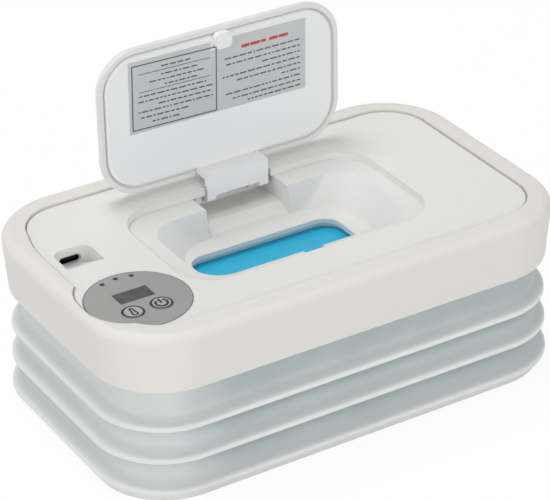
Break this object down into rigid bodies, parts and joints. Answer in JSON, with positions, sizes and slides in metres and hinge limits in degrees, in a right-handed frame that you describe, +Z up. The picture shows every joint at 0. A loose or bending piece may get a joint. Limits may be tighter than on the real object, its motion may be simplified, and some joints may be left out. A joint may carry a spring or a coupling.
{
  "type": "baby wipe warmer",
  "caption": "Travel baby wipe warmer: heated head with hinged lid, dispensing well, round control disc and USB inlet, on a folding silicone skirt that holds the pack.",
  "frame": {"origin": "middle of the footprint, on the surface the warmer stands on", "axes": "+Z up; +X along the long side, to the right seen from the front; the front, with the control disc at its left end, is -Y; the lid opens towards +Y"},
  "size_m": [0.2, 0.123, 0.1355],
  "materials": {
    "white_plastic": "satin moulded ABS",
    "grey_plastic": "satin moulded ABS",
    "key_plastic": "satin silver paint",
    "band_silicone": "soft matt silicone",
    "skirt_silicone": "translucent soft silicone",
    "blue_silicone": "soft matt silicone",
    "foot_rubber": "matt silicone",
    "foam": "closed-cell foam",
    "black_plastic": "moulded",
    "smoked_window": "polished smoked acrylic",
    "silver_film": "satin silver printed film",
    "label_film": "satin silver film",
    "polyimide": "polyimide film",
    "circuit_board": "solder mask",
    "wire_cover": "PVC",
    "steel": "plated",
    "aluminium": "rolled"
  },
  "bodies": {
    "base": {"base_plate": "white_plastic", "feet": "foot_rubber", "bellows": "skirt_silicone"},
    "head": {"rim_band": "band_silicone", "top_housing": "white_plastic", "lower_housing": "grey_plastic", "housing_screws": "steel", "heating_plate": "aluminium", "heating_film": "polyimide", "insulation_pad": "foam", "thermistor": "black_plastic", "thermal_fuse": "steel", "pull_seal": "blue_silicone", "control_board": "circuit_board", "board_parts": "black_plastic", "display_module": "black_plastic", "display_window": "smoked_window", "control_overlay": "silver_film", "indicator_leds": "black_plastic", "light_pipes": "smoked_window", "tact_switches": "black_plastic", "usb_board": "circuit_board", "usb_socket": "steel", "board_screws": "steel", "wiring": "wire_cover", "hinge_pin": "steel"},
    "lid": {"lid_shell": "white_plastic", "lid_liner": "white_plastic", "lid_label": "label_film"},
    "temperature_button": {"temperature_key": "key_plastic"},
    "power_button": {"power_key": "key_plastic"}
  },
  "joints": [
    {"name": "skirt_fold", "type": "slide", "parent": "base", "child": "head", "axis": [0, 0, -1], "range_m": [0, 0.027], "deforming": ["bellows"]},
    {"name": "lid_hinge", "type": "hinge", "parent": "head", "child": "lid", "pos_m": [0.0005, 0.0363, 0.0668], "axis": [1, 0, 0], "range_deg": [0, 90]},
    {"name": "temperature_press", "type": "slide", "parent": "head", "child": "temperature_button", "axis": [0, 0, -1], "range_m": [0, 0.0005], "stiffness_N_per_m": 2000},
    {"name": "power_press", "type": "slide", "parent": "head", "child": "power_button", "axis": [0, 0, -1], "range_m": [0, 0.0005], "stiffness_N_per_m": 2000}
  ]
}
